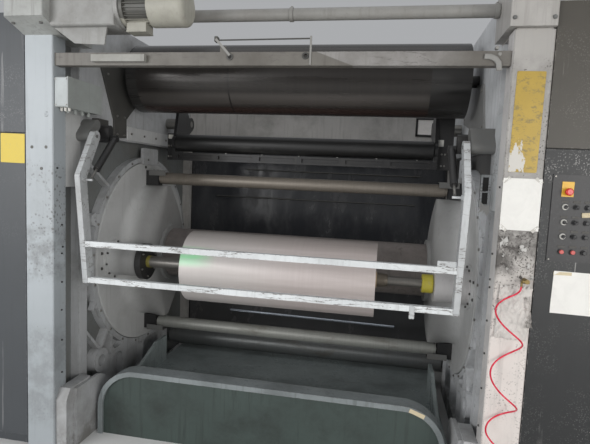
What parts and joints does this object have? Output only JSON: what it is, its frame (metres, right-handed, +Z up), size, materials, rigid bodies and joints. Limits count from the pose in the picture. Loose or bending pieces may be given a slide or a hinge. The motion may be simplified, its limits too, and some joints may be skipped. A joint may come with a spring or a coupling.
{
  "type": "turret winding station of a flexographic printing press",
  "caption": "Two-station turret winder stand: side frames, turning discs with spindles and film roll, web drum, swinging lay-on roller, hinged front guard, side cabinets.",
  "frame": {"origin": "on the floor, midway between the side frames and midway between the front and rear faces", "axes": "+X to the operator's right along the rollers, +Y away from the operator, +Z up"},
  "size_m": [4.199, 2.63, 3.3],
  "materials": {
    "apron_paint": "grey-green enamel",
    "black_paint": "satin black",
    "cabinet_black": "scratched black",
    "cast_paint": "grey enamel on rough castings",
    "core_board": "spiral wound board",
    "disc_paint": "satin grey enamel",
    "drum_steel": "polished, brown-grey",
    "film": "pearly film",
    "frame_paint": "worn light grey enamel",
    "guard_paint": "chipped light grey enamel",
    "hose_red": "translucent red polyurethane",
    "idler_metal": "matt anodised",
    "layon_rubber": "ground rubber",
    "motor_paint": "dirty cream enamel",
    "pane": "smoked sheet",
    "steel": "turned steel",
    "tube_paint": "dark grey-green enamel"
  },
  "bodies": {
    "root": {"air_hose": "hose_red", "apron": "apron_paint", "bearing_housings": "cast_paint", "cabinet_panels": "cabinet_black", "cabinets": "cabinet_black", "casting_ribs_left": "cast_paint", "casting_ribs_right": "cast_paint", "column_left": "frame_paint", "column_right": "frame_paint", "control_panel": "black_paint", "disc_ring_left": "cast_paint", "disc_ring_right": "cast_paint", "foot_blocks": "cast_paint", "front_beam": "frame_paint", "gearbox": "motor_paint", "guard_hinges": "cast_paint", "head_box_left": "frame_paint", "head_box_right": "frame_paint", "hose_fitting": "steel", "hose_nozzle": "steel", "junction_box": "cast_paint", "layon_pins": "black_paint", "low_roller": "steel", "lower_casting_left": "cast_paint", "lower_casting_right": "cast_paint", "motor": "motor_paint", "rear_beam": "frame_paint", "rear_guard_pane": "pane", "rear_guard_posts": "black_paint", "rear_guard_rails": "black_paint", "rear_posts": "frame_paint", "side_plate_left": "cast_paint", "side_plate_right": "cast_paint", "strut_lugs": "cast_paint", "tray": "apron_paint", "upper_pads": "cast_paint", "upper_tube": "frame_paint"},
    "turret": {"turret_disc_left": "disc_paint", "turret_disc_right": "disc_paint", "turret_tube": "tube_paint", "idler_mounts": "black_paint"},
    "front_spindle": {"front_shaft": "steel", "film_roll": "film"},
    "rear_spindle": {"rear_shaft": "steel", "rear_core": "core_board"},
    "upper_idler": {"idler_upper": "idler_metal"},
    "lower_idler": {"idler_lower": "idler_metal"},
    "drum": {"web_drum": "drum_steel"},
    "layon_unit": {"layon_arms": "black_paint", "layon_beam": "black_paint"},
    "layon_roll": {"layon_roller": "layon_rubber"},
    "guard": {"guard_arm_left": "guard_paint", "guard_arm_right": "guard_paint", "guard_bars": "guard_paint"},
    "barrel_left": {"strut_barrel_left": "black_paint"},
    "barrel_right": {"strut_barrel_right": "black_paint"},
    "rod_left": {"strut_rod_left": "steel"},
    "rod_right": {"strut_rod_right": "steel"}
  },
  "joints": [
    {"name": "turret_turn", "type": "hinge", "parent": "root", "child": "turret", "pos_m": [0, 0.211, 1.28], "axis": [1, 0, 0], "continuous": true},
    {"name": "front_spindle_spin", "type": "hinge", "parent": "turret", "child": "front_spindle", "pos_m": [0, -0.364, 1.28], "axis": [1, 0, 0], "continuous": true},
    {"name": "rear_spindle_spin", "type": "hinge", "parent": "turret", "child": "rear_spindle", "pos_m": [0, 0.786, 1.28], "axis": [1, 0, 0], "continuous": true},
    {"name": "upper_idler_spin", "type": "hinge", "parent": "turret", "child": "upper_idler", "pos_m": [0, 0.211, 1.975], "axis": [1, 0, 0], "continuous": true},
    {"name": "lower_idler_spin", "type": "hinge", "parent": "turret", "child": "lower_idler", "pos_m": [0, 0.211, 0.585], "axis": [1, 0, 0], "continuous": true},
    {"name": "drum_spin", "type": "hinge", "parent": "root", "child": "drum", "pos_m": [0, -0.085, 2.83], "axis": [1, 0, 0], "continuous": true},
    {"name": "layon_swing", "type": "hinge", "parent": "root", "child": "layon_unit", "pos_m": [0, 0.625, 2.53], "axis": [-1, 0, 0], "range_deg": [0, 20]},
    {"name": "layon_roller_spin", "type": "hinge", "parent": "layon_unit", "child": "layon_roll", "pos_m": [0, 0.285, 2.318], "axis": [1, 0, 0], "continuous": true},
    {"name": "guard_swing", "type": "hinge", "parent": "root", "child": "guard", "pos_m": [0, -0.85, 2.27], "axis": [-1, 0, 0], "range_deg": [0, 80]},
    {"name": "strut_left_turn", "type": "hinge", "parent": "root", "child": "barrel_left", "pos_m": [-1.251, -0.695, 2.266], "axis": [-1, 0, 0], "range_deg": [-1, 57.67]},
    {"name": "strut_left_reach", "type": "slide", "parent": "barrel_left", "child": "rod_left", "axis": [0, -0.6943, -0.7197], "range_m": [-0.002, 0.06885]},
    {"name": "strut_right_turn", "type": "hinge", "parent": "root", "child": "barrel_right", "pos_m": [1.205, -0.695, 2.266], "axis": [-1, 0, 0], "range_deg": [-1, 57.67]},
    {"name": "strut_right_reach", "type": "slide", "parent": "barrel_right", "child": "rod_right", "axis": [0, -0.6943, -0.7197], "range_m": [-0.002, 0.06885]}
  ],
  "couplings": [
    {"joint": "strut_left_turn", "follows": "guard_swing", "ratio": 0.70835},
    {"joint": "strut_left_reach", "follows": "guard_swing", "m_per_rad": 0.047881},
    {"joint": "strut_right_turn", "follows": "guard_swing", "ratio": 0.70835},
    {"joint": "strut_right_reach", "follows": "guard_swing", "m_per_rad": 0.047881}
  ]
}
